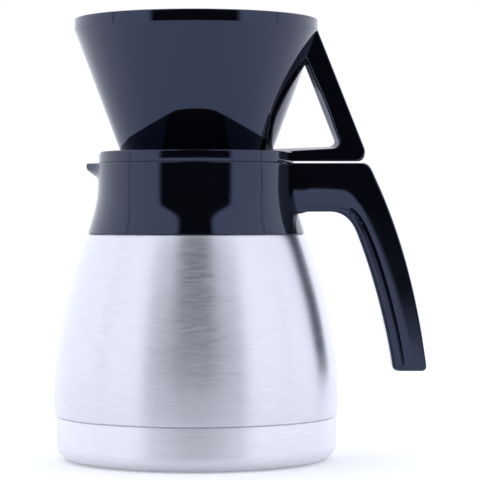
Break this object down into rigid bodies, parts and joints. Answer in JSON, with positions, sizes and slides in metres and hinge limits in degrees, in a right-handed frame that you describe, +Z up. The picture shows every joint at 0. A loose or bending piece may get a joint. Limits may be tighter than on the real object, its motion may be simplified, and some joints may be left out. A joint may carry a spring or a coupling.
{
  "type": "manual pour-over coffee brewer",
  "caption": "Pour-over coffee brewer: black filter cone with a triangular handle, lifted off a brushed steel vacuum carafe with a hooked black handle.",
  "frame": {"origin": "middle of the pad's underside, on the carafe's axis, where the brewer stands", "axes": "+Z up along the carafe's axis; -X towards the pouring lip and +X towards both handles; the XZ plane is the plane of symmetry"},
  "size_m": [0.2036, 0.1556, 0.2407],
  "materials": {
    "brushed_jacket": "brushed round the body",
    "satin_cup": "satin",
    "plain_steel": "mill finish",
    "liner_steel": "electropolished",
    "black_gloss": "moulded, high gloss",
    "black_satin": "moulded, satin",
    "grey_silicone": "matt",
    "foil": "bright foil",
    "getter_alloy": "sintered",
    "seal_glass": "fused",
    "zinc_steel": "zinc plated"
  },
  "bodies": {
    "carafe": {"outer_shell": "brushed_jacket", "base_cup": "satin_cup", "base_pad": "grey_silicone", "jacket_bottom": "plain_steel", "tip_seal": "seal_glass", "getter": "getter_alloy", "getter_clip": "plain_steel", "radiation_foil": "foil", "inner_liner": "liner_steel", "liner_bottom": "liner_steel", "collar": "black_gloss", "collar_gasket": "grey_silicone", "lock_ring": "black_satin", "mouth_ring": "black_satin", "mouth_seal": "grey_silicone", "handle_shell": "black_gloss", "handle_cover": "black_gloss", "handle_screws": "zinc_steel"},
    "dripper": {"filter_cone": "black_gloss", "cone_handle": "black_gloss"}
  },
  "joints": [
    {"name": "dripper_lift", "type": "slide", "parent": "carafe", "child": "dripper", "axis": [0, 0, 1], "range_m": [0, 0.1]}
  ]
}
